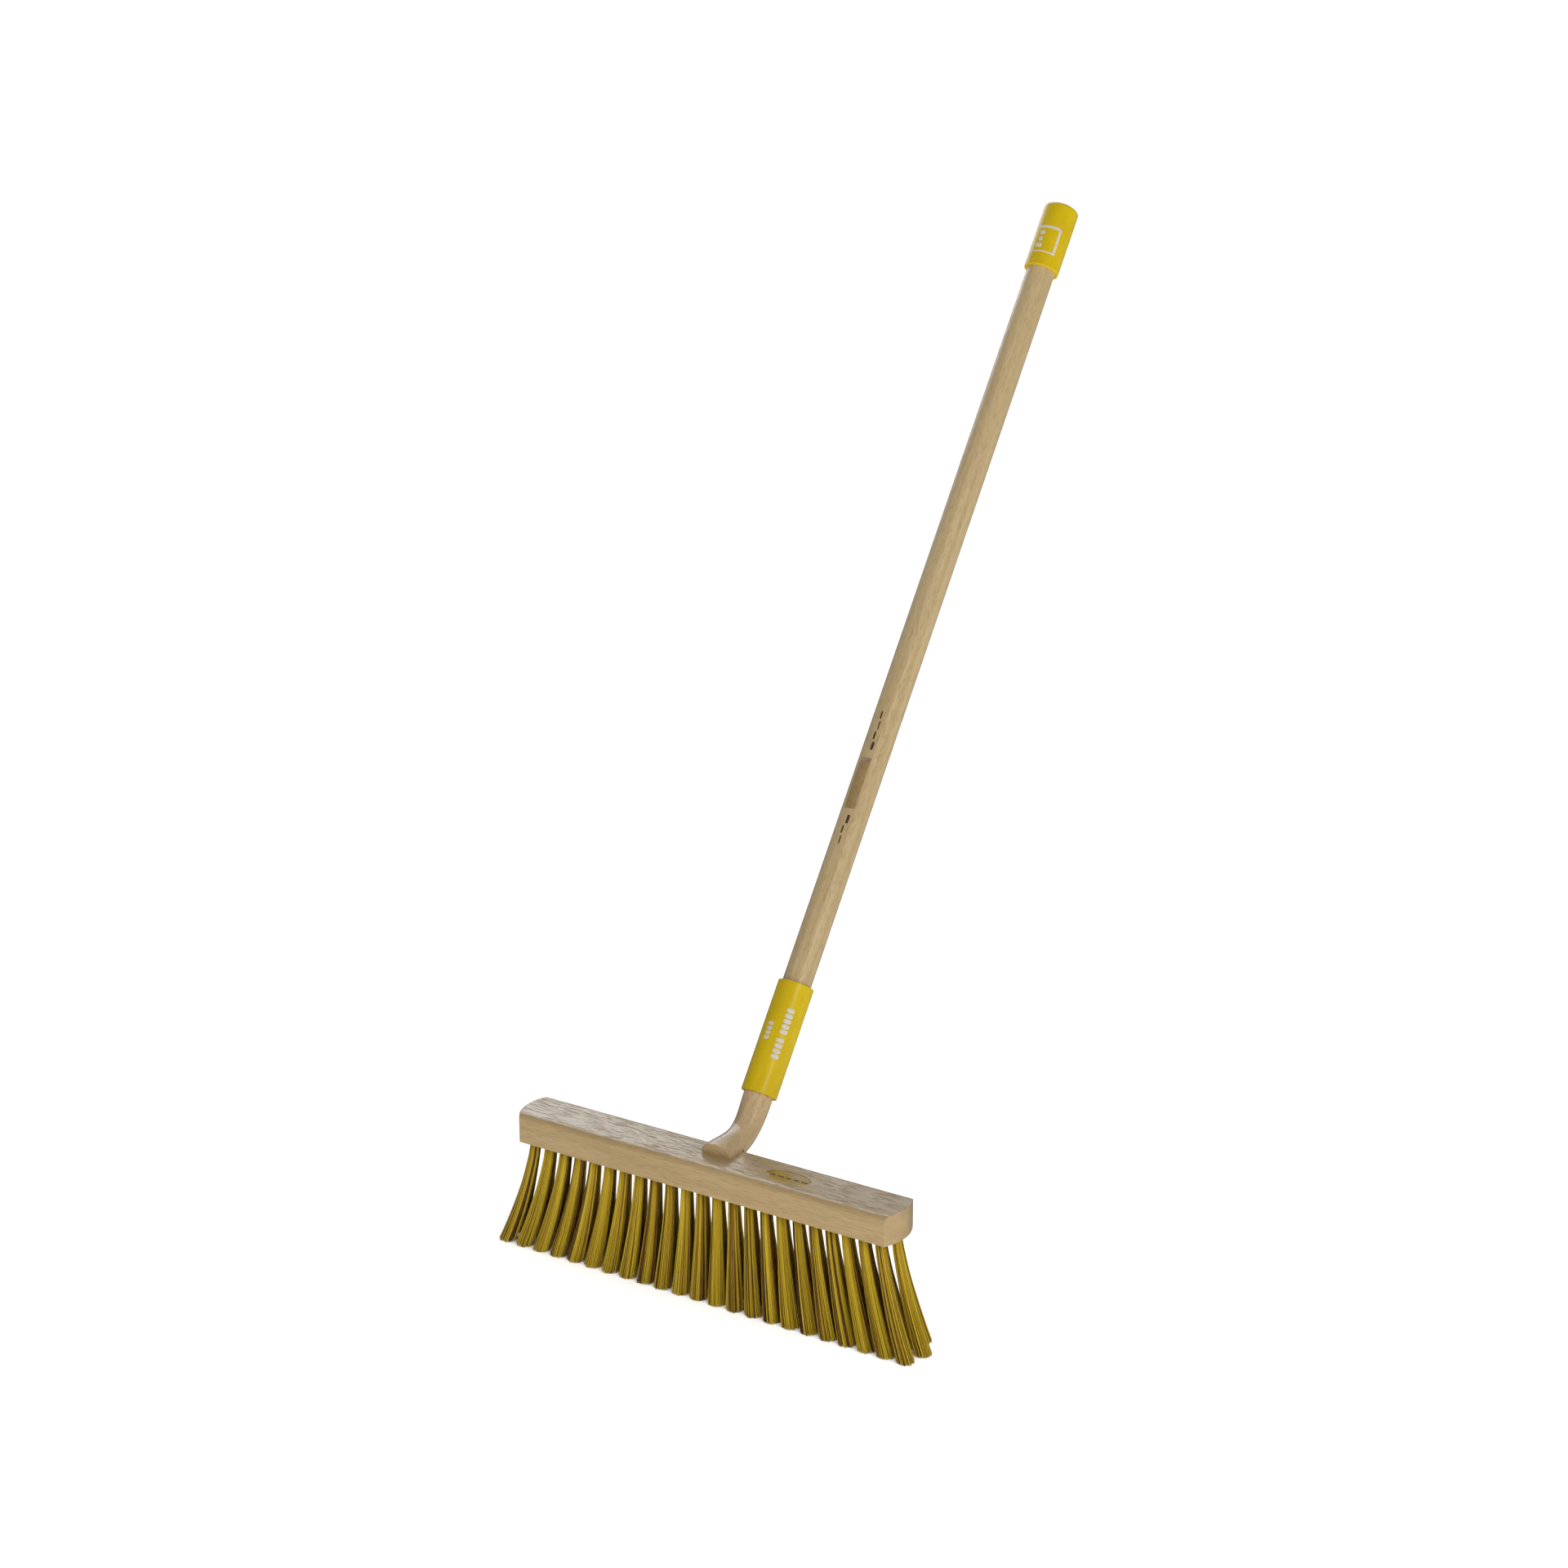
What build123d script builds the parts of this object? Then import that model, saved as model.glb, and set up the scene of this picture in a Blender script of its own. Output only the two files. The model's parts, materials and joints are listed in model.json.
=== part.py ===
from build123d import *
from math import cos, radians, sin, sqrt, tan
import os

# Push broom: a beech block with three staggered rows of fibre tufts, a bent beech neck,
# a plastic coupling sleeve, and a round beech handle with a plastic end cap.
# Origin: on the floor, under the middle of the block. +X along the block, +Y to the back,
# where the handle leans, +Z up. Millimetres.

# Block
block_length = 400.0  # between the corners of the long front face
block_width = 50.0
block_thickness = 29.0
end_bulge = 7.0  # how far the bowed ends stand beyond the corners
top_edge_radius = 6.4
crisp_edge_radius = 0.5

# Tufts
bristle_height = 108.0  # floor to the underside of the block
front_row_tufts = 23
tuft_pitch = 17.15
row_pitch = 14.3
hole_radius = 4.5
hole_depth = 16.0
hole_clearance = 0.1
collar_radius = 5.0  # tuft where it leaves the block
collar_drop = 6.0
tip_radius = 8.2
tuft_stations = [collar_drop, 45.0, 80.0, bristle_height]  # drops below the block
row_fan = {"front": 1.172, "middle": 1.151, "back": 1.140}  # tip spacing over root spacing, along X
depth_fan = 1.43  # the same, from row to row
fan_straightness = 0.6  # share of the lean that is a straight slope; the rest curves outwards

# Flat steel anchors that hold the folded tufts in their holes
anchor_width = 8.7
anchor_thickness = 0.5
anchor_height = 2.4
anchor_gap = 0.1

# Handle line
handle_lean = 53.7  # degrees from the floor
neck_offset = 6.7  # the neck stands this far to the right of the block's middle
bend_radius = 43.0
bend_corner_y = 45.6  # where the foot's line, in the plane of the block's top, meets the handle's

# Neck: a bent round stub. Over the block its lower half is cut away, behind the block it is whole
foot_front_y = -0.3
foot_half_width = 15.1
foot_half_height = 11.3
foot_overhang = 12.0  # degrees that the front end leans forward
cutting_reserve = 8.0  # length trimmed off in front of the foot
bend_start_radii = (14.2, 13.2)  # half width, half height
bend_middle_radii = (13.2, 12.6)
bend_end_radii = (13.5, 13.3)
neck_radius = 14.0

# Coupling sleeve, measured along the handle line from the bend corner
sleeve_radius = 17.35
sleeve_start = 42.0
sleeve_length = 108.6
stop_length = 3.0
stop_bore_radius = 6.0
push_clearance = 0.06
rim_radius = 0.8
mouth_chamfer = 0.5

# Handle and cap
handle_radius = 14.0
handle_reach = 862.0  # sleeve mouth's bottom to the top end of the cap's straight wall
cap_radius = 17.35
cap_length = 68.2
cap_dome = 5.2
cap_dome_edge = 3.0
cap_socket = 58.0
end_chamfer = 1.0

# Fasteners
foot_screw_radius = 2.25
foot_screw_tip = 0.4
foot_screw_point = 3.0  # length of the pointed end
foot_screw_head = 4.0
foot_screw_head_height = 2.2
foot_screw_length = 35.0
foot_screw_sink = 1.0
drive_radius = 1.5
drive_width = 0.7
drive_depth = 1.6
sleeve_screw_drive = 0.8  # depth of the cross in the small screw
sleeve_screw_radius = 1.7
sleeve_screw_head = 3.4
sleeve_screw_cap = 1.8
sleeve_screw_round = 1.1
sleeve_screw_length = 13.0
sleeve_screw_rise = 26.0  # from the sleeve's lower rim

underside = bristle_height
block_top = bristle_height + block_thickness
lean = radians(handle_lean)
handle_dir = Vector(0, cos(lean), sin(lean))
bend_corner = Vector(neck_offset, bend_corner_y, block_top)


def on_handle(distance):
    """Plane square to the handle line, that far above the bend corner."""
    return Plane(bend_corner + handle_dir * distance, x_dir=(1, 0, 0), z_dir=handle_dir)


def tuft_row(name):
    """Root places of one row: the middle row has one tuft more and sits half a pitch over."""
    count = front_row_tufts + (1 if name == "middle" else 0)
    first = -(count - 1) / 2 * tuft_pitch
    y = {"front": -row_pitch, "middle": 0.0, "back": row_pitch}[name]
    return [(first + i * tuft_pitch, y) for i in range(count)]


def all_roots():
    return [root for name in row_fan for root in tuft_row(name)]


def make_block():
    half = block_length / 2
    side = block_width / 2
    outline = [
        Line((-half, -side), (half, -side)),
        ThreePointArc((half, -side), (half + end_bulge, 0), (half, side)),
        Line((half, side), (-half, side)),
        ThreePointArc((-half, side), (-half - end_bulge, 0), (-half, -side)),
    ]
    body = Pos(0, 0, underside) * extrude(make_face(outline), block_thickness)
    long_top = body.edges().group_by(Axis.Z)[-1].filter_by(Axis.X)
    body = fillet(long_top, top_edge_radius)
    lower = body.edges().group_by(Axis.Z)[0]
    body = fillet(lower, crisp_edge_radius)
    holes = [
        Pos(x, y, underside) * Cylinder(
            hole_radius, hole_depth, align=(Align.CENTER, Align.CENTER, Align.MIN))
        for x, y in all_roots()
    ]
    body = body - holes
    return body - [screw_clearance(place) for place in foot_screw_places()]


def tuft_centre(x, y, fan, depth):
    """Centre of a tuft at a drop below the block: a straight slope plus a curve outwards."""
    t = max(depth, 0) / bristle_height
    bend = fan_straightness * t + (1 - fan_straightness) * t * t
    return x * (1 + (fan - 1) * bend), y * (1 + (depth_fan - 1) * bend)


def make_tuft(x, y, fan):
    root_radius = hole_radius - hole_clearance
    root_top = underside + hole_depth - anchor_height - 2 * anchor_gap
    sections = [Pos(x, y, root_top) * Circle(root_radius)]
    sections.append(Pos(x, y, underside) * Circle(root_radius))
    for drop in tuft_stations:
        cx, cy = tuft_centre(x, y, fan, drop)
        share = (drop - collar_drop) / (bristle_height - collar_drop)
        radius = collar_radius + (tip_radius - collar_radius) * share
        sections.append(Pos(cx, cy, underside - drop) * Circle(radius))
    return loft(sections, ruled=True)


def make_tuft_column(index):
    """One column across the block: a tuft of each row, the middle one half a pitch to the left."""
    tufts = [make_tuft(*tuft_row("middle")[index], row_fan["middle"])]
    if index < front_row_tufts:
        tufts.append(make_tuft(*tuft_row("front")[index], row_fan["front"]))
        tufts.append(make_tuft(*tuft_row("back")[index], row_fan["back"]))
    return Compound(tufts)


def make_anchor(x, y):
    """Flat plate across the bottom of a tuft hole, over the fold of the tuft."""
    top = underside + hole_depth - anchor_gap
    return Pos(x, y, top) * Box(
        anchor_width, anchor_thickness, anchor_height, align=(Align.CENTER, Align.CENTER, Align.MAX))


def bend_section(start, turn, radii):
    """Ellipse square to the bend after that much of the turn, in degrees."""
    turn = radians(turn)
    centre = start + Vector(0, bend_radius * sin(turn), bend_radius * (1 - cos(turn)))
    plane = Plane(centre, x_dir=(1, 0, 0), z_dir=(0, cos(turn), sin(turn)))
    return plane * Ellipse(*radii)


def make_stub():
    """Round stub: along the block's top, round the bend, and up into the sleeve."""
    run_in = bend_radius * tan(lean / 2)
    start = Vector(neck_offset, bend_corner_y - run_in, block_top)
    front = Plane((neck_offset, foot_front_y - cutting_reserve, block_top),
                  x_dir=(1, 0, 0), z_dir=(0, 1, 0))
    mouth = on_handle(sleeve_start)
    bent = loft([
        front * Ellipse(foot_half_width, foot_half_height),
        bend_section(start, 0, bend_start_radii),
        bend_section(start, handle_lean / 2, bend_middle_radii),
        bend_section(start, handle_lean, bend_end_radii),
        mouth * Ellipse(neck_radius, neck_radius),
    ])
    depth = (sleeve_length - stop_length) / 2 - push_clearance
    spigot = extrude(mouth * Circle(neck_radius), depth)
    spigot = chamfer(spigot.edges().group_by(Axis((0, 0, 0), handle_dir))[-1], end_chamfer)
    return bent + spigot


def make_neck():
    """The stub with its lower half cut away over the block, so that it sits on the top and behind."""
    stub = make_stub()
    seat = Pos(neck_offset, block_width / 2, block_top) * Box(
        block_width, block_length, block_thickness, align=(Align.CENTER, Align.MAX, Align.MAX))
    front_end = Pos(neck_offset, foot_front_y, block_top) * Rot(foot_overhang, 0, 0) * Box(
        block_width, block_width, block_width, align=(Align.CENTER, Align.MAX, Align.CENTER))
    stub = stub - seat - front_end
    screws = [foot_screw_body(place) for place in foot_screw_places()]
    return stub - screws - sleeve_screw_body()


def foot_screw_places():
    """Two clear spots between the tuft holes, under the neck's foot."""
    column = tuft_row("back")[front_row_tufts // 2][0]
    return [(column, row_pitch / 3), (column + tuft_pitch / 2, row_pitch * 2 / 3)]


def foot_screw_body(place):
    upright = (Align.CENTER, Align.CENTER, Align.MIN)
    shank_length = foot_screw_length - foot_screw_point
    shank = Cylinder(foot_screw_radius, shank_length, align=upright)
    point = Pos(0, 0, shank_length) * Cone(
        foot_screw_radius, foot_screw_tip, foot_screw_point, align=upright)
    head = Cone(foot_screw_head, foot_screw_radius, foot_screw_head_height, align=upright)
    return Pos(place[0], place[1], underside + foot_screw_sink) * (shank + point + head)


def screw_clearance(place):
    """Countersunk hole in the block, open to the underside."""
    head = Pos(place[0], place[1], underside) * Cylinder(
        foot_screw_head, foot_screw_sink, align=(Align.CENTER, Align.CENTER, Align.MIN))
    return head + foot_screw_body(place)


def drive_cross():
    bar = Rectangle(2 * drive_radius, drive_width)
    return bar + Rot(0, 0, 90) * bar


def make_foot_screws():
    screws = []
    for place in foot_screw_places():
        recess = Pos(place[0], place[1], underside + foot_screw_sink) * extrude(drive_cross(), drive_depth)
        screws.append(foot_screw_body(place) - recess)
    return Compound(screws)


def sleeve_screw_frame():
    """Origin on the back of the sleeve, z pointing out of it."""
    outward = Vector(0, sin(lean), -cos(lean))
    centre = bend_corner + handle_dir * (sleeve_start + sleeve_screw_rise)
    return Plane(centre + outward * sleeve_radius, x_dir=(1, 0, 0), z_dir=outward)


def sleeve_screw_body():
    shank = Cylinder(sleeve_screw_radius, sleeve_screw_length,
                     align=(Align.CENTER, Align.CENTER, Align.MAX))
    return sleeve_screw_frame() * shank


def make_sleeve_screw():
    head = Cylinder(sleeve_screw_head, sleeve_screw_cap,
                    align=(Align.CENTER, Align.CENTER, Align.MIN))
    head = fillet(head.edges().group_by(Axis.Z)[-1], sleeve_screw_round)
    recess = Pos(0, 0, sleeve_screw_cap) * extrude(drive_cross(), -sleeve_screw_drive)
    return sleeve_screw_body() + sleeve_screw_frame() * (head - recess)


def make_sleeve():
    """Moulded tube with a stop wall half way up: the neck below it, the handle above."""
    bore = neck_radius + push_clearance
    tube = extrude(Circle(sleeve_radius), sleeve_length)
    tube = fillet(tube.edges(), rim_radius)
    half = (sleeve_length - stop_length) / 2
    tube -= extrude(Circle(bore), half)
    tube -= Pos(0, 0, half + stop_length) * extrude(Circle(bore), half)
    tube -= extrude(Circle(stop_bore_radius), sleeve_length)
    mouths = tube.edges().filter_by(GeomType.CIRCLE).filter_by(
        lambda edge: abs(edge.radius - bore) < push_clearance / 2)
    mouths = mouths.group_by(Axis.Z)
    tube = chamfer(mouths[0] + mouths[-1], mouth_chamfer)
    return on_handle(sleeve_start) * tube - sleeve_screw_body()


def handle_foot():
    return sleeve_start + (sleeve_length + stop_length) / 2 + push_clearance


def cap_start():
    return sleeve_start + handle_reach


def make_handle():
    length = cap_start() + cap_socket - handle_foot() - push_clearance
    shaft = extrude(on_handle(handle_foot()) * Circle(handle_radius), length)
    ends = shaft.edges().group_by(Axis((0, 0, 0), handle_dir))
    return chamfer(ends[0] + ends[-1], end_chamfer)


def make_cap():
    """Cup turned from one profile: straight wall, rounded shoulder, shallow dome, blind socket."""
    socket = handle_radius + push_clearance / 2
    top = cap_length + cap_dome
    dome_half = cap_radius / 2
    dome_radius = (cap_radius ** 2 + cap_dome ** 2) / (2 * cap_dome)
    dome_mid = top - dome_radius + sqrt(dome_radius ** 2 - dome_half ** 2)
    profile = make_face([
        Polyline((0, cap_socket), (socket, cap_socket), (socket, 0), (cap_radius, 0),
                 (cap_radius, cap_length)),
        ThreePointArc((cap_radius, cap_length), (dome_half, dome_mid), (0, top)),
        Line((0, top), (0, cap_socket)),
    ])
    shoulder = profile.vertices().sort_by_distance((cap_radius, cap_length))[0]
    profile = fillet(shoulder, cap_dome_edge)
    rim = profile.vertices().sort_by_distance((cap_radius, 0))[0]
    profile = fillet(rim, rim_radius)
    return on_handle(cap_start()) * revolve(Plane.XZ * profile, Axis.Z)


def save(shape, name):
    shape.label = name
    export_step(shape, "parts/" + name + ".step")


os.makedirs("parts", exist_ok=True)
save(make_block(), "block")
for column in range(front_row_tufts + 1):
    save(make_tuft_column(column), "tuft_column_%02d" % (column + 1))
save(Compound([make_anchor(x, y) for x, y in all_roots()]), "tuft_anchors")
save(make_neck(), "neck")
save(make_foot_screws(), "foot_screws")
save(make_sleeve(), "coupling_sleeve")
save(make_sleeve_screw(), "sleeve_screw")
save(make_handle(), "handle_shaft")
save(make_cap(), "end_cap")
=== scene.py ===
import json
import math

import bpy
import numpy as np
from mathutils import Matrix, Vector


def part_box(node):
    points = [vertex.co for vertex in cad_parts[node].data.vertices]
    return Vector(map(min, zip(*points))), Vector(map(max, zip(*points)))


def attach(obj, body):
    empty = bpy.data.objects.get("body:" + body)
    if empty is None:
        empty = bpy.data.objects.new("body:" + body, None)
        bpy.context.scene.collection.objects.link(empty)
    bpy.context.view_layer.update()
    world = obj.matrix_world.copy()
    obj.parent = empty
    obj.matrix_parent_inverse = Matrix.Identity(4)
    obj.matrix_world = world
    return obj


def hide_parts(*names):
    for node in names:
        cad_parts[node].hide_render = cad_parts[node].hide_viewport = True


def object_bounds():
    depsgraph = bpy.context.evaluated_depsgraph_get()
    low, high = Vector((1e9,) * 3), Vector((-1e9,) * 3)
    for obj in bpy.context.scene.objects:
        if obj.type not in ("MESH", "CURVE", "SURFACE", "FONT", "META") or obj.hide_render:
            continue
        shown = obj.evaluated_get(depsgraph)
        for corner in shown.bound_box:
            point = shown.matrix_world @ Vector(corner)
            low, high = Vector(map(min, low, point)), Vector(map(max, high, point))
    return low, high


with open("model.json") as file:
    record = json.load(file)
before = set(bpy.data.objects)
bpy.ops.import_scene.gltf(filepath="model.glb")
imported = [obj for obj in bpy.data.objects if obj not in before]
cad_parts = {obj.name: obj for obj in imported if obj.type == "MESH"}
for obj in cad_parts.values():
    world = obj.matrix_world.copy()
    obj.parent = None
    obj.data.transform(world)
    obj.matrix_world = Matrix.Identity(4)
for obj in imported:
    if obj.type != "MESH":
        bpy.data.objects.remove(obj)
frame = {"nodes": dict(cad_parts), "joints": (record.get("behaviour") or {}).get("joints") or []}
cadLow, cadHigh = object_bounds()
nodes = frame["nodes"]
rng = np.random.default_rng(27)
print("frame loaded:", len(nodes), "CAD nodes")

scene = bpy.context.scene
scene.view_settings.view_transform = "Standard"

handleAxis = Vector(frame["joints"][0]["axis"]).normalized()
blockLow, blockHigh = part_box("block")
noiseLow, noiseHigh = 0.3, 0.7  # noise values that are stretched over the whole change


# helpers

def linear(hexColour):
    # sRGB to linear: divide by 12.92 near black, a power of 2.4 above it
    parts = np.array([int(hexColour[i:i + 2], 16) / 255 for i in (1, 3, 5)])
    low = parts / 12.92
    high = ((parts + 0.055) / 1.055) ** 2.4
    return (*np.where(parts <= 0.04045, low, high).tolist(), 1.0)


def addNode(tree, kind, settings=None, inputs=None, stops=None):
    # a socket among the inputs is linked, anything else is the socket's own value
    node = tree.nodes.new(kind)
    for name, value in (settings or {}).items():
        setattr(node, name, value)
    for name, value in (inputs or {}).items():
        if isinstance(value, bpy.types.NodeSocket):
            tree.links.new(value, node.inputs[name])
        else:
            node.inputs[name].default_value = value
    for i, (place, hexColour) in enumerate(stops or []):
        ramp = node.color_ramp.elements
        stop = ramp[i] if i < 2 else ramp.new(place)
        stop.position = place
        stop.color = linear(hexColour)
    return node


def newMaterial(name):
    material = bpy.data.materials.new(name)
    material.use_nodes = True
    tree = material.node_tree
    tree.nodes.clear()
    surface = addNode(tree, "ShaderNodeBsdfPrincipled")
    addNode(tree, "ShaderNodeOutputMaterial", inputs={"Surface": surface.outputs[0]})
    return material, tree, surface


def paint(material, *names):
    for name in names:
        for place in nodes[name].material_slots:
            place.material = material


def buildMesh(name, points, faces, material, smooth=True):
    mesh = bpy.data.meshes.new(name)
    mesh.from_pydata(points.reshape(-1, 3), [], faces)
    mesh.polygons.foreach_set("use_smooth", np.full(len(mesh.polygons), smooth))
    mesh.materials.append(material)
    mesh.update()
    piece = bpy.data.objects.new(name, mesh)
    scene.collection.objects.link(piece)
    return piece


# wood

def beech(name, look):
    # planed beech under clear lacquer: close straight grain in two near tones, and short dark
    # ray flecks along it, which also break the gloss
    material, tree, surface = newMaterial(name)
    where = addNode(tree, "ShaderNodeTexCoord").outputs["Object"]
    turn = Vector((1, 0, 0)).rotation_difference(look["grain"]).to_euler()

    def grainNoise(size, detail, rough=0.5):
        # cells of that size in metres, the first number along the grain
        turned = addNode(tree, "ShaderNodeMapping", {"vector_type": "TEXTURE"}, {
            "Vector": where, "Location": look["centre"], "Rotation": turn, "Scale": size})
        return addNode(tree, "ShaderNodeTexNoise", None, {
            "Vector": turned.outputs[0], "Scale": 1.0, "Detail": detail,
            "Roughness": rough}).outputs["Fac"]

    bands = grainNoise(look["bandSize"], 2.0)
    strands = grainNoise(look["strandSize"], 2.0, 0.6)
    flecks = grainNoise(look["fleckSize"], 1.0)
    patches = grainNoise(look["patchSize"], 3.0)

    tone = addNode(tree, "ShaderNodeValToRGB", None, {"Fac": bands}, look["tones"])
    strandShade = addNode(tree, "ShaderNodeMapRange", None, {
        "Value": strands, "From Min": noiseLow, "From Max": noiseHigh,
        "To Min": 1 - look["strandShade"], "To Max": 1 + look["strandShade"]})
    streaked = addNode(tree, "ShaderNodeMix", {"data_type": "RGBA", "blend_type": "MULTIPLY"}, {
        "Factor": 1.0, 6: tone.outputs["Color"], 7: strandShade.outputs[0]})
    fleckMask = addNode(tree, "ShaderNodeMapRange", None, {
        "Value": flecks, "From Min": look["fleckStart"], "From Max": look["fleckFull"]})
    fleckAmount = addNode(tree, "ShaderNodeMath", {"operation": "MULTIPLY"}, {
        0: fleckMask.outputs[0], 1: look["fleckShade"]})
    wood = addNode(tree, "ShaderNodeMix", {"data_type": "RGBA"}, {
        "Factor": fleckAmount.outputs[0], 6: streaked.outputs[2], 7: linear(look["fleck"])})
    tree.links.new(wood.outputs[2], surface.inputs["Base Color"])

    # handled places of the lacquer are a little smoother than the rest
    dull = addNode(tree, "ShaderNodeMapRange", None, {
        "Value": patches, "From Min": noiseLow, "From Max": noiseHigh,
        "To Min": look["roughness"][0], "To Max": look["roughness"][1]})
    tree.links.new(dull.outputs[0], surface.inputs["Roughness"])

    # the lacquer sinks into the flecks, which stay dark where the rest mirrors a light
    coatLeft = addNode(tree, "ShaderNodeMath", {"operation": "MULTIPLY_ADD", "use_clamp": True}, {
        0: fleckMask.outputs[0], 1: -look["coatLoss"], 2: look["coat"]})
    tree.links.new(coatLeft.outputs[0], surface.inputs["Coat Weight"])
    relief = addNode(tree, "ShaderNodeMath", {"operation": "MULTIPLY_ADD"}, {
        0: fleckMask.outputs[0], 1: -1.0, 2: strands})
    bump = addNode(tree, "ShaderNodeBump", None, {
        "Strength": 1.0, "Distance": look["relief"], "Height": relief.outputs[0]})
    tree.links.new(bump.outputs[0], surface.inputs["Normal"])
    tree.links.new(bump.outputs[0], surface.inputs["Coat Normal"])
    surface.inputs["IOR"].default_value = look["ior"]
    surface.inputs["Coat IOR"].default_value = look["ior"]
    surface.inputs["Coat Roughness"].default_value = look["coatRoughness"]
    return material


blockLook = {
    "grain": Vector((1, 0, 0)),
    "centre": (blockLow + blockHigh) / 2,
    "bandSize": (0.14, 0.011, 0.009),
    "strandSize": (0.05, 0.0011, 0.0011),
    "fleckSize": (0.013, 0.0010, 0.0010),  # drawn coarser than real flecks, so that they show
    "patchSize": (0.05, 0.03, 0.03),
    "tones": [(0.3, "#b79a69"), (0.7, "#c2a573")],
    "strandShade": 0.05,
    "fleck": "#7d6040",
    "fleckStart": 0.56,  # noise values at which a fleck begins and is full
    "fleckFull": 0.66,
    "fleckShade": 0.22,
    "roughness": (0.36, 0.50),
    "coat": 1.0,
    "coatLoss": 0.85,  # how much of the coat is missing in a fleck
    "coatRoughness": 0.09,
    "relief": 0.00018,
    "ior": 1.5,
}
paint(beech("beechBlock", blockLook), "block")

neckLow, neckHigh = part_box("neck")
neckLook = dict(
    blockLook,
    grain=(Vector((0, 1, 0)) + handleAxis).normalized(),
    centre=(neckLow + neckHigh) / 2,
    tones=[(0.3, "#cbac7c"), (0.7, "#dabd8f")],
    fleckShade=0.25,
)
paint(beech("beechNeck", neckLook), "neck")

shaftLow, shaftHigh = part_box("handle_shaft")
handleLook = dict(
    blockLook,
    grain=handleAxis,
    centre=(shaftLow + shaftHigh) / 2,
    bandSize=(0.35, 0.007, 0.007),
    tones=[(0.3, "#bea374"), (0.7, "#cdb587")],
    fleckSize=(0.008, 0.0013, 0.0013),
    fleckShade=0.22,
    coat=0.5,
    coatLoss=0.2,
    coatRoughness=0.2,
)
paint(beech("beechHandle", handleLook), "handle_shaft")
print("wood painted")


# moulded parts and steel

def mouldedPlastic(name, look):
    # injection moulded polypropylene: an even colour and soft gloss, with a faint ripple and fine
    # scuffs along it
    material, tree, surface = newMaterial(name)
    where = addNode(tree, "ShaderNodeTexCoord").outputs["Object"]
    turn = Vector((1, 0, 0)).rotation_difference(handleAxis).to_euler()

    def noiseOf(size, detail):
        # cells of that size in metres, the first number along the handle
        turned = addNode(tree, "ShaderNodeMapping", {"vector_type": "TEXTURE"}, {
            "Vector": where, "Rotation": turn, "Scale": size})
        return addNode(tree, "ShaderNodeTexNoise", None, {
            "Vector": turned.outputs[0], "Scale": 1.0, "Detail": detail}).outputs["Fac"]

    ripple = noiseOf(look["rippleSize"], 1.0)
    scuffs = noiseOf(look["scuffSize"], 3.0)
    clouds = noiseOf(look["cloudSize"], 2.0)
    tone = addNode(tree, "ShaderNodeValToRGB", None, {"Fac": clouds}, look["tones"])
    tree.links.new(tone.outputs["Color"], surface.inputs["Base Color"])
    dull = addNode(tree, "ShaderNodeMapRange", None, {
        "Value": scuffs, "From Min": look["scuffStart"], "From Max": look["scuffFull"],
        "To Min": look["roughness"][0], "To Max": look["roughness"][1]})
    tree.links.new(dull.outputs[0], surface.inputs["Roughness"])
    bump = addNode(tree, "ShaderNodeBump", None, {
        "Strength": 1.0, "Distance": look["relief"], "Height": ripple})
    tree.links.new(bump.outputs[0], surface.inputs["Normal"])
    surface.inputs["IOR"].default_value = look["ior"]
    return material


plasticLook = {
    "tones": [(0.3, "#d4b402"), (0.7, "#dcbc04")],
    "cloudSize": (0.03, 0.02, 0.02),
    "rippleSize": (0.004, 0.004, 0.004),
    "relief": 0.00004,
    "scuffSize": (0.018, 0.0007, 0.0007),
    "scuffStart": 0.45,  # noise values at which a scuff begins and is full
    "scuffFull": 0.75,
    "roughness": (0.26, 0.41),
    "ior": 1.49,
}
paint(mouldedPlastic("yellowPlastic", plasticLook), "coupling_sleeve", "end_cap")


def screwSteel(name, look):
    # zinc plated steel: pale grey, a cool sheen, small stains
    material, tree, surface = newMaterial(name)
    where = addNode(tree, "ShaderNodeTexCoord").outputs["Object"]
    stains = addNode(tree, "ShaderNodeTexNoise", None, {
        "Vector": where, "Scale": look["stainScale"], "Detail": 3.0}).outputs["Fac"]
    tone = addNode(tree, "ShaderNodeValToRGB", None, {"Fac": stains}, look["tones"])
    dull = addNode(tree, "ShaderNodeMapRange", None, {
        "Value": stains, "To Min": look["roughness"][0], "To Max": look["roughness"][1]})
    bump = addNode(tree, "ShaderNodeBump", None, {
        "Strength": 1.0, "Distance": look["relief"], "Height": stains})
    tree.links.new(tone.outputs["Color"], surface.inputs["Base Color"])
    tree.links.new(dull.outputs[0], surface.inputs["Roughness"])
    tree.links.new(bump.outputs[0], surface.inputs["Normal"])
    surface.inputs["Metallic"].default_value = 1.0
    return material


steelLook = {
    "tones": [(0.35, "#a9a8a4"), (0.7, "#c4c4c2")],
    "roughness": (0.24, 0.44),
    "stainScale": 600.0,  # stains of about 1.7 mm
    "relief": 0.00001,
}
paint(screwSteel("platedSteel", steelLook), "foot_screws", "sleeve_screw", "tuft_anchors")
print("plastic and steel painted")


# bristle tufts

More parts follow.
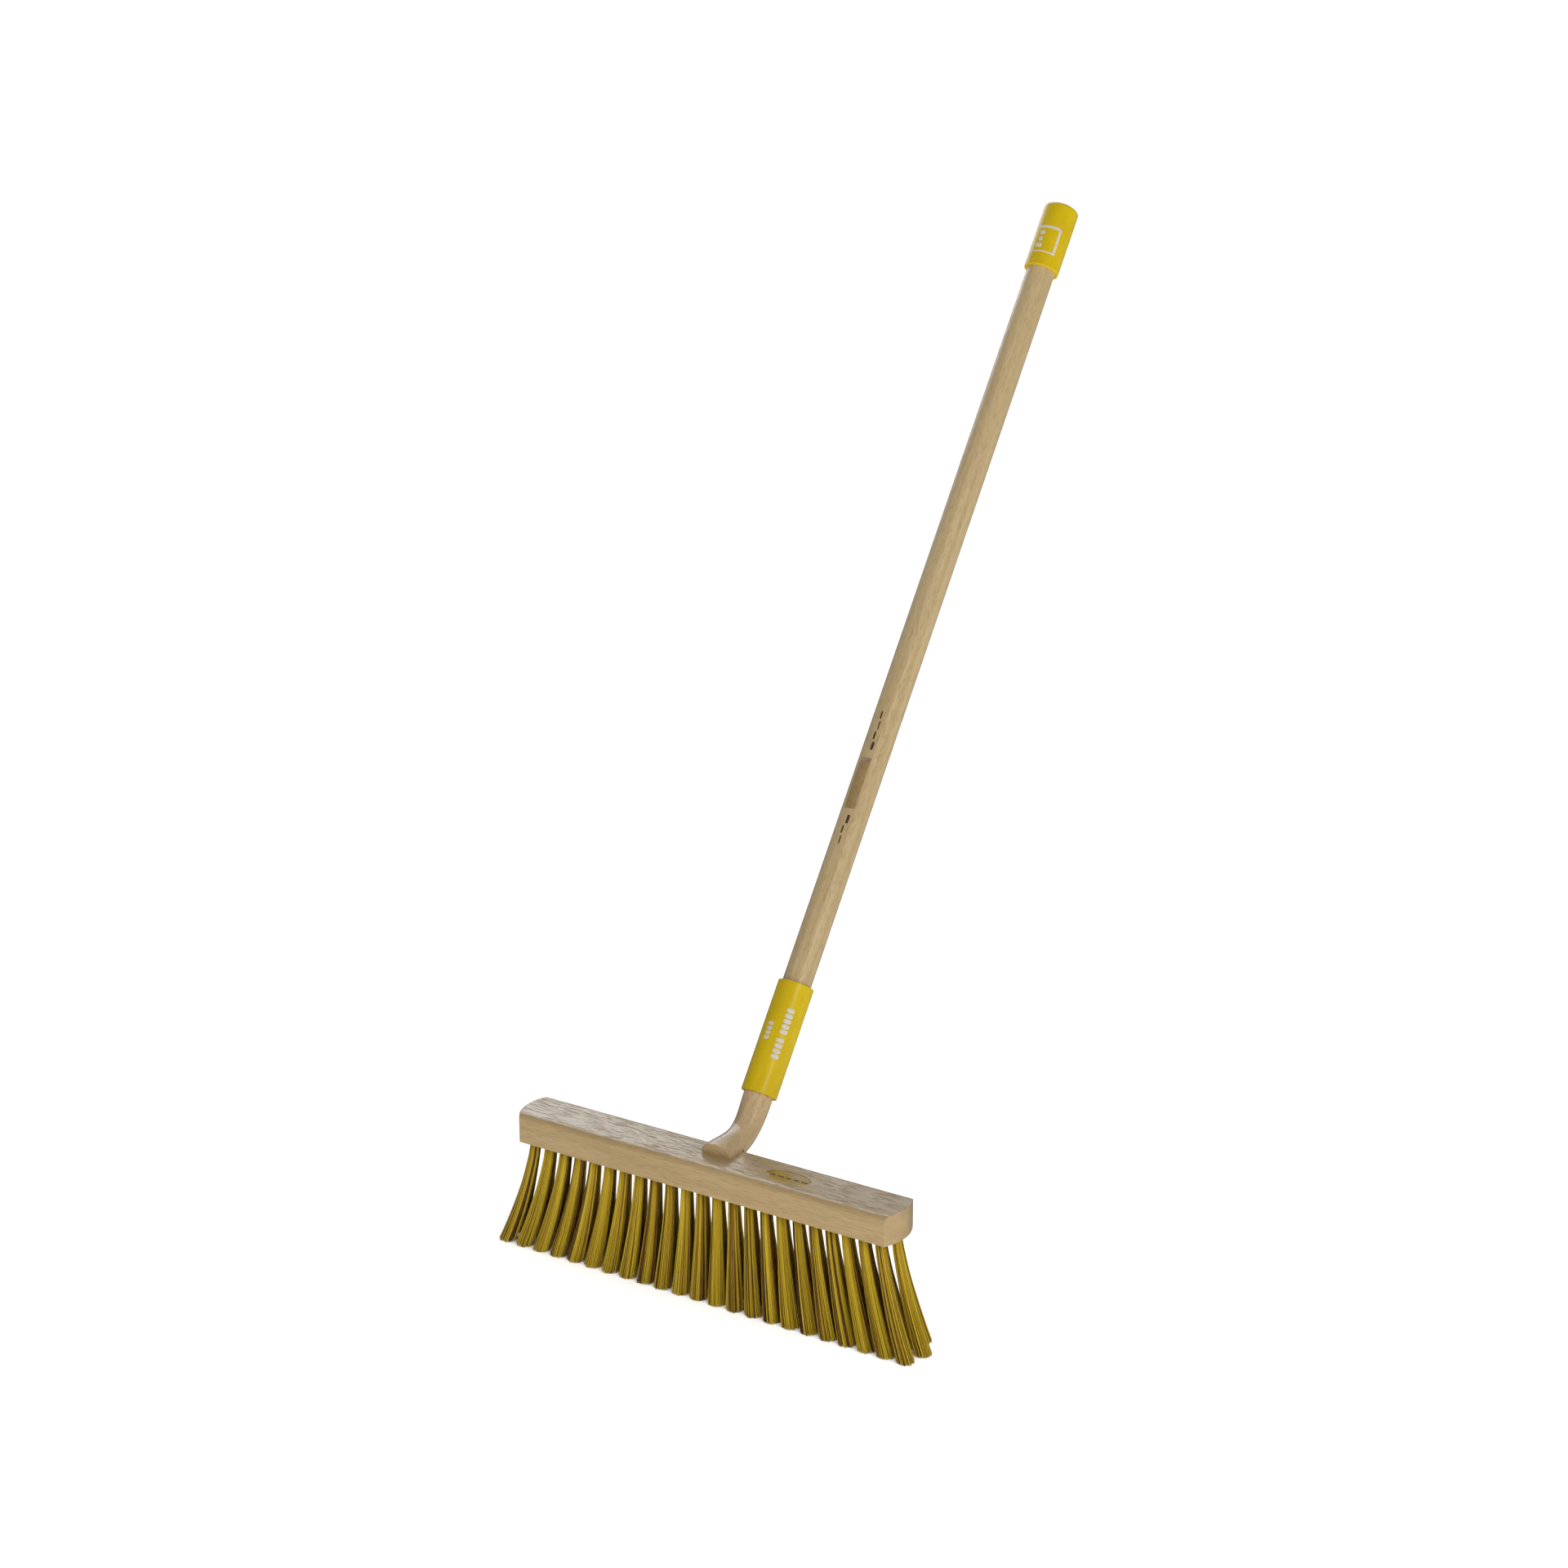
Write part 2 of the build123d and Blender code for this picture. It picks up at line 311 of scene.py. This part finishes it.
def bristleFibre(name, look):
    # dyed plant fibre: olive yellow with brown strands, each strand its own tone, a waxy half gloss
    material, tree, surface = newMaterial(name)
    own = addNode(tree, "ShaderNodeAttribute", {"attribute_name": "fibreTone"}).outputs["Fac"]
    where = addNode(tree, "ShaderNodeTexCoord").outputs["Object"]
    drawn = addNode(tree, "ShaderNodeMapping", {"vector_type": "TEXTURE"}, {
        "Vector": where, "Scale": look["mottleSize"]})
    mottle = addNode(tree, "ShaderNodeTexNoise", None, {
        "Vector": drawn.outputs[0], "Scale": 1.0, "Detail": 2.0}).outputs["Fac"]
    mixed = addNode(tree, "ShaderNodeMath", {"operation": "MULTIPLY_ADD"}, {
        0: mottle, 1: look["mottle"], 2: own})
    centred = addNode(tree, "ShaderNodeMath", {"operation": "SUBTRACT", "use_clamp": True}, {
        0: mixed.outputs[0], 1: look["mottle"] / 2})
    tone = addNode(tree, "ShaderNodeValToRGB", None, {"Fac": centred.outputs[0]}, look["tones"])
    tree.links.new(tone.outputs["Color"], surface.inputs["Base Color"])
    dull = addNode(tree, "ShaderNodeMapRange", None, {
        "Value": mottle, "To Min": look["roughness"][0], "To Max": look["roughness"][1]})
    tree.links.new(dull.outputs[0], surface.inputs["Roughness"])
    surface.inputs["IOR"].default_value = look["ior"]
    return material


fibreLook = {
    "mottleSize": (0.0015, 0.0015, 0.03),
    "mottle": 0.30,
    "tones": [
        (0.0, "#4e2c0a"), (0.22, "#8a6210"), (0.45, "#b8960f"), (0.75, "#cbab12"), (1.0, "#d8bb26")],
    "roughness": (0.4, 0.6),
    "ior": 1.5,
}
fibreMaterial = bristleFibre("bristleFibre", fibreLook)

tuft = {
    "fibres": 110,
    "fibreRadius": 0.00050,  # coarse, and few to a tuft, so that each shows
    "sides": 4,
    "rings": 9,
    "ringSpacing": 0.85,  # under 1 the rings stand closer towards the floor
    "rootRise": 0.003,  # the fibres start this far up in their hole
    "drops": (0.0, 0.006, 0.043, 0.078, 0.108),  # distances below the block's underside
    "radii": (0.0044, 0.0047, 0.0058, 0.0078, 0.0091),  # half widths of a tuft at those distances
    "placeJitter": 0.03,
    "locks": 34,
    "gather": 0.16,  # share of the way a fibre is drawn to the middle of its lock at the floor
    "straightShare": 0.6,
    "curlRoom": 0.00022,  # kept free at a tuft's edge for the curl
    "curl": 0.000154,
    "curlTurns": 5.0,  # radians of curl from the block to the floor
    "trim": 0.0012,  # unevenness of the trimmed ends
    "lockTone": (0.60, 0.28),  # mean and spread, 0 is dark brown and 1 pale yellow
    "fibreTone": 0.14,  # spread within a lock
    "darkShare": 0.12,
    "darkStep": 0.5,
    "rowGap": 0.002,  # a column's rows stand further apart than this
    "sliceHalf": 1e-4,
}
underside = blockLow.z
goldenAngle = math.pi * (3 - math.sqrt(5))


def ringCentres(points, height):
    # centres of a column's round sections at that height, one for each row
    near = points[np.abs(points[:, 2] - height) < tuft["sliceHalf"]]
    ys = np.sort(near[:, 1])
    breaks = np.flatnonzero(np.diff(ys) > tuft["rowGap"])
    centres = []
    for group in np.split(ys, breaks + 1):
        members = near[(near[:, 1] >= group[0]) & (near[:, 1] <= group[-1])]
        centres.append((members.min(0) + members.max(0))[:2] / 2)
    return np.array(centres)


def fibreBundle(root, tip):
    # each fibre is a tube round a path: the tuft's bowed centre line, plus the fibre's place in the
    # tuft's disc, which widens to the floor and is drawn towards its lock, plus a small curl
    count, rings, sides = tuft["fibres"], tuft["rings"], tuft["sides"]
    index = np.arange(count)
    spread = np.sqrt((index + 0.5) / count)
    angle = index * goldenAngle + rng.uniform(0, 2 * math.pi)
    spread = np.clip(spread + rng.normal(0, tuft["placeJitter"], count), 0, 1)
    ends = rng.uniform(0, tuft["trim"], count)
    share = np.linspace(0, 1, rings) ** tuft["ringSpacing"]
    drop = -tuft["rootRise"] + (underside - ends + tuft["rootRise"])[:, None] * share
    t = np.clip(drop / underside, 0, 1)
    bend = tuft["straightShare"] * t + (1 - tuft["straightShare"]) * t * t
    reach = np.interp(drop, tuft["drops"], tuft["radii"])
    reach = reach - tuft["fibreRadius"] - tuft["curlRoom"] * t

    disc = np.stack([spread * np.cos(angle), spread * np.sin(angle)], -1)
    locks = disc[rng.permutation(count)[:tuft["locks"]]]
    nearest = np.linalg.norm(disc[:, None] - locks, axis=-1).argmin(1)
    drawn = disc[:, :, None] + (locks[nearest] - disc)[:, :, None] * tuft["gather"] * t[:, None]
    wave = rng.uniform(0, 2 * math.pi, (2, count))[:, :, None] + tuft["curlTurns"] * t
    x = root[0] + (tip[0] - root[0]) * bend + drawn[:, 0] * reach + tuft["curl"] * t * np.sin(wave[0])
    y = root[1] + (tip[1] - root[1]) * bend + drawn[:, 1] * reach + tuft["curl"] * t * np.sin(wave[1])
    x = np.clip(x, cadLow.x + tuft["fibreRadius"], cadHigh.x - tuft["fibreRadius"])
    y = np.clip(y, cadLow.y + tuft["fibreRadius"], cadHigh.y - tuft["fibreRadius"])

    around = np.arange(sides) * 2 * math.pi / sides
    twist = rng.uniform(0, math.pi, count)[:, None, None] + around
    points = np.empty((count, rings, sides, 3))
    points[..., 0] = x[:, :, None] + tuft["fibreRadius"] * np.cos(twist)
    points[..., 1] = y[:, :, None] + tuft["fibreRadius"] * np.sin(twist)
    points[..., 2] = (underside - drop)[:, :, None]

    tones = rng.normal(*tuft["lockTone"], tuft["locks"])[nearest] + rng.normal(0, tuft["fibreTone"], count)
    tones = np.clip(tones - tuft["darkStep"] * (rng.random(count) < tuft["darkShare"]), 0, 1)
    return points, tones


def tubeFaces(count, rings, sides):
    # walls between neighbouring rings, then one cap at each end
    ring = np.arange(count * rings).reshape(count, rings)
    lower, upper = ring[:, 1:].reshape(-1, 1) * sides, ring[:, :-1].reshape(-1, 1) * sides
    side = np.arange(sides)
    following = (side + 1) % sides
    walls = np.stack([lower + side, lower + following, upper + following, upper + side], -1)
    floorCaps = ring[:, -1:] * sides + side[::-1]
    rootCaps = ring[:, :1] * sides + side
    return walls.reshape(-1, 4).tolist() + floorCaps.tolist() + rootCaps.tolist()


columns = sorted(name for name in nodes if name.startswith("tuft_column"))
for name in columns:
    mesh = nodes[name].data
    points = np.empty(len(mesh.vertices) * 3, np.float32)
    mesh.vertices.foreach_get("co", points)
    points = points.reshape(-1, 3)
    roots = ringCentres(points, underside)
    tips = ringCentres(points, 0.0)
    bundles = [fibreBundle(root, tip) for root, tip in zip(roots, tips)]
    fibres = np.concatenate([bundle[0] for bundle in bundles])
    tones = np.concatenate([bundle[1] for bundle in bundles])
    faces = tubeFaces(len(fibres), tuft["rings"], tuft["sides"])
    piece = buildMesh(name.replace("tuft_column", "bristles"), fibres, faces, fibreMaterial)
    pointTones = np.repeat(tones, tuft["rings"] * tuft["sides"]).astype(np.float32)
    toneLayer = piece.data.attributes.new("fibreTone", "FLOAT", "POINT")
    toneLayer.data.foreach_set("value", pointTones)
    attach(piece, "head")
    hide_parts(name)
print("bristles made:", len(columns), "columns")


# printed marks: plain bars, a frame and spots

def printInk(name, look):
    # screen print in matt ink or stain: a thin even colour, slightly uneven in specks
    material, tree, surface = newMaterial(name)
    where = addNode(tree, "ShaderNodeTexCoord").outputs["Object"]
    wear = addNode(tree, "ShaderNodeTexNoise", None, {
        "Vector": where, "Scale": look["wearScale"], "Detail": 3.0}).outputs["Fac"]
    tone = addNode(tree, "ShaderNodeValToRGB", None, {"Fac": wear}, look["tones"])
    tree.links.new(tone.outputs["Color"], surface.inputs["Base Color"])
    dull = addNode(tree, "ShaderNodeMapRange", None, {
        "Value": wear, "To Min": look["roughness"][0], "To Max": look["roughness"][1]})
    tree.links.new(dull.outputs[0], surface.inputs["Roughness"])
    surface.inputs["IOR"].default_value = look["ior"]
    return material


whiteInk = {
    "tones": [(0.3, "#cfc4b4"), (0.6, "#e2dccf")],
    "roughness": (0.35, 0.55),
    "wearScale": 900.0,
    "ior": 1.5,
}
brownInk = dict(whiteInk, tones=[(0.35, "#3d2413"), (0.7, "#5e4128")], roughness=(0.4, 0.6))
tanStain = dict(
    whiteInk, tones=[(0.3, "#967950"), (0.7, "#a98c60")], roughness=(0.3, 0.5), wearScale=160.0)
yellowStain = dict(
    whiteInk, tones=[(0.3, "#bf9c30"), (0.7, "#c6a662")], roughness=(0.1, 0.3), wearScale=90.0)

ink = {
    "steps": 13,
    "height": 0.00006,  # the ink stands this far out of the surface
    "depth": 0.00010,  # and its closed underside lies this far in it
}


def inkMesh(name, halfAlong, halfAcross, roundness, onSurface, marks):
    # a square grid (u, v) drawn to a rounded shape: (u sqrt(1 - k v v / 2), v sqrt(1 - k u u / 2)),
    # one sheet over the surface and one under it, joined by walls along the border
    steps = ink["steps"]
    u, v = np.meshgrid(np.linspace(-1, 1, steps), np.linspace(-1, 1, steps), indexing="ij")
    along = halfAlong * u * np.sqrt(1 - roundness * v * v / 2)
    across = halfAcross * v * np.sqrt(1 - roundness * u * u / 2)
    over = onSurface(along, across, ink["height"])
    under = onSurface(along, across, -ink["depth"])
    points = np.concatenate([over.reshape(-1, 3), under.reshape(-1, 3)])
    lower = steps * steps
    grid = np.arange(lower).reshape(steps, steps)
    quads = np.stack([grid[:-1, :-1], grid[1:, :-1], grid[1:, 1:], grid[:-1, 1:]], -1).reshape(-1, 4)
    border = np.concatenate([grid[:-1, 0], grid[-1, :-1], grid[:0:-1, -1], grid[0, :0:-1]])
    following = np.roll(border, -1)
    walls = np.stack([border, border + lower, following + lower, following], -1)
    faces = quads.tolist() + (quads[:, ::-1] + lower).tolist() + walls.tolist()
    piece = buildMesh(name, points, faces, marks["ink"])
    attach(piece, marks["body"])


def roundSurface(radius, place, bearing):
    # the wall of a round part on the handle's axis: place in metres from the middle of the handle,
    # bearing in degrees from +X towards the upper side
    middle = (np.array(shaftLow) + np.array(shaftHigh)) / 2
    axis = np.array(handleAxis)
    sideways = np.array((1.0, 0.0, 0.0))
    upward = np.cross(sideways, axis)

    def onSurface(along, across, height):
        angle = math.radians(bearing) + across / radius
        out = sideways * np.cos(angle)[..., None] + upward * np.sin(angle)[..., None]
        return middle + axis * (place + along)[..., None] + out * (radius + height)

    return onSurface


def flatSurface(x, y, lift=0.0):
    # the top of the block
    def onSurface(along, across, height):
        return np.stack([x + along, y + across, np.full_like(along, blockHigh.z + lift + height)], -1)

    return onSurface


# a bar is its place along, its bearing, its half length along, its half width across, its roundness
capMarks = {
    "ink": printInk("whiteInkCap", whiteInk),
    "body": "handle",
    "slot": "yellow_plastic",
    "radius": 0.01735,
    "bars": [
        (0.4151, 90, 0.0014, 0.0150, 0.05), (0.3881, 90, 0.0007, 0.0150, 0.05),
        (0.4016, 40, 0.0146, 0.0013, 0.05), (0.4016, 140, 0.0146, 0.0013, 0.05),
        (0.4085, 98, 0.0022, 0.0030, 0.6), (0.4015, 98, 0.0022, 0.0022, 0.6),
        (0.3945, 98, 0.0022, 0.0036, 0.6)],
}
sleeveRows = [
    # number of bars, first place, step, then the rest of a bar
    (5, -0.4070, 0.0052, (49, 0.0021, 0.0040, 0.7)),
    (4, -0.4362, 0.0052, (51, 0.0021, 0.0040, 0.7)),
    (4, -0.4228, 0.0046, (98, 0.0018, 0.0030, 0.7)),
]
sleeveMarks = {
    "ink": printInk("whiteInkSleeve", whiteInk),
    "body": "head",
    "slot": "yellow_plastic",
    "radius": 0.01735,
    "bars": [(first - i * step, *rest) for count, first, step, rest in sleeveRows for i in range(count)],
}
handleStain = {
    "ink": printInk("tanStain", tanStain),
    "body": "handle",
    "slot": "handle_beech",
    "radius": 0.014,
    "bars": [(-0.1799, 91, 0.0260, 0.0058, 0.03)],
}
handleMarks = dict(handleStain, ink=printInk("brownInkHandle", brownInk), bars=[
    (-0.1100, 88, 0.0040, 0.0008, 0.5), (-0.1205, 84, 0.0044, 0.0006, 0.5),
    (-0.1310, 88, 0.0040, 0.0009, 0.5), (-0.1415, 82, 0.0042, 0.0014, 0.5),
    (-0.2165, 80, 0.0044, 0.0014, 0.5), (-0.2270, 88, 0.0040, 0.0008, 0.5),
    (-0.2375, 84, 0.0042, 0.0006, 0.5)])
for group, marks in (("cap_marks", capMarks), ("sleeve_marks", sleeveMarks),
                     ("handle_stain", handleStain), ("handle_marks", handleMarks)):
    for i, (place, bearing, halfAlong, halfAcross, roundness) in enumerate(marks["bars"]):
        surface = roundSurface(marks["radius"], place, bearing)
        inkMesh(group + "_" + str(i + 1), halfAlong, halfAcross, roundness, surface, marks)

blockSpot = {
    "ink": printInk("yellowStain", yellowStain),
    "body": "head",
    "slot": "block_beech",
    "middle": (0.087, -0.003),
    "half": (0.023, 0.0105),
    "roundness": 1.0,
}
inkMesh("block_spot", *blockSpot["half"], blockSpot["roundness"],
        flatSurface(*blockSpot["middle"]), blockSpot)
blockMarks = {
    "ink": printInk("brownInkBlock", brownInk),
    "body": "head",
    "slot": "block_beech",
    "lift": 0.00008,  # clear of the spot below
    "y": -0.005,
    "halfAcross": 0.0011,
    "roundness": 0.5,
    # x and half length of each bar
    "bars": [(0.0715, 0.0030), (0.0800, 0.0034), (0.0885, 0.0028), (0.0965, 0.0032), (0.1050, 0.0034)],
}
for i, (x, halfAlong) in enumerate(blockMarks["bars"]):
    surface = flatSurface(x, blockMarks["y"], blockMarks["lift"])
    inkMesh("block_marks_" + str(i + 1), halfAlong, blockMarks["halfAcross"], blockMarks["roundness"],
            surface, blockMarks)
print("printed marks made")


# floor, lights, camera

studio = {
    "floorColour": "#f7f7f7",
    "floorRoughness": 0.9,
    "floorHalf": 80.0,
    "skyColour": "#f2f4f6",
    "skyStrength": 0.17,
    "floorSun": 3.0,
    "floorSunSpread": math.radians(100),
    # name, place, watts, width, height, lights surfaces, shows in gloss
    "lamps": [
        ("softboxRight", (2.5, -1.1, 1.7), 41.0, 1.8, 2.2, True, False),
        ("softboxFront", (-0.7, -2.3, 2.6), 15.5, 1.6, 1.6, True, False),
        ("stripRight", (2.75, -1.5, 2.2), 15.0, 0.28, 2.6, False, True),
    ],
    # the cards behind the broom show only in the lacquer's gloss, the left one is the brighter:
    # name, bearing from +Y to the left, watts
    "cards": [("cardLeft", math.radians(51.5), 71.0), ("cardMiddle", math.radians(16), 24.0)],
    "cardDistance": 4.0,
    "cardRise": math.radians(40),
    "cardWidth": 2.4,
    "cardHeight": 4.6,
}


def floorMaterial():
    # seamless white paper: matt, without any gloss
    material, tree, surface = newMaterial("paleFloor")
    surface.inputs["Base Color"].default_value = linear(studio["floorColour"])
    surface.inputs["Roughness"].default_value = studio["floorRoughness"]
    surface.inputs["Specular IOR Level"].default_value = 0.0
    return material


floorPoints = np.array([(-1, -1, 0), (1, -1, 0), (1, 1, 0), (-1, 1, 0)]) * studio["floorHalf"]
floor = buildMesh("floor", floorPoints, [(0, 1, 2, 3)], floorMaterial(), smooth=False)
floor.visible_glossy = False

world = bpy.data.worlds.new("studio")
world.use_nodes = True
world.node_tree.nodes["Background"].inputs["Color"].default_value = linear(studio["skyColour"])
world.node_tree.nodes["Background"].inputs["Strength"].default_value = studio["skyStrength"]
scene.world = world


def placeLight(name, lamp, place, target, energy):
    lamp.energy = energy
    holder = bpy.data.objects.new(name, lamp)
    holder.location = place
    holder.rotation_euler = (Vector(target) - Vector(place)).to_track_quat("-Z", "Y").to_euler()
    scene.collection.objects.link(holder)
    return holder


def areaLight(name, place, target, energy, width, height, lightsSurfaces, showsInGloss):
    lamp = bpy.data.lights.new(name, "AREA")
    lamp.shape = "RECTANGLE"
    lamp.size = width
    lamp.size_y = height
    holder = placeLight(name, lamp, place, target, energy)
    holder.visible_diffuse = lightsSurfaces
    holder.visible_glossy = showsInGloss


# the floor has a lamp of its own, so that it stays white
sun = bpy.data.lights.new("floorLamp", "SUN")
sun.angle = studio["floorSunSpread"]
floorLamp = placeLight("floorLamp", sun, (0, 0, 3), (0, 0, 0), studio["floorSun"])
floorOnly = bpy.data.collections.new("floorOnly")
floorOnly.objects.link(floor)
floorLamp.light_linking.receiver_collection = floorOnly

objectMid = (cadLow + cadHigh) / 2
for name, place, watts, width, height, lightsSurfaces, showsInGloss in studio["lamps"]:
    areaLight(name, place, objectMid, watts, width, height, lightsSurfaces, showsInGloss)

blockTop = Vector((0, 0, blockHigh.z))
rise = studio["cardRise"]
for name, bearing, watts in studio["cards"]:
    away = Vector((-math.sin(bearing) * math.cos(rise), math.cos(bearing) * math.cos(rise), math.sin(rise)))
    place = blockTop + studio["cardDistance"] * away
    areaLight(name, place, blockTop, watts, studio["cardWidth"], studio["cardHeight"], False, True)

view = {
    "lens": 69.2,
    "sensor": 36,
    "clipEnd": 300,
    "place": (1.4166, -2.0658, 1.3096),
    "turn": (math.radians(71.9), 0, math.radians(32.9)),
}
camera = bpy.data.objects.new("camera", bpy.data.cameras.new("camera"))
camera.data.lens = view["lens"]
camera.data.sensor_width = view["sensor"]
camera.data.clip_end = view["clipEnd"]
camera.location = view["place"]
camera.rotation_euler = view["turn"]
scene.collection.objects.link(camera)
scene.camera = camera
print("lights and camera placed")
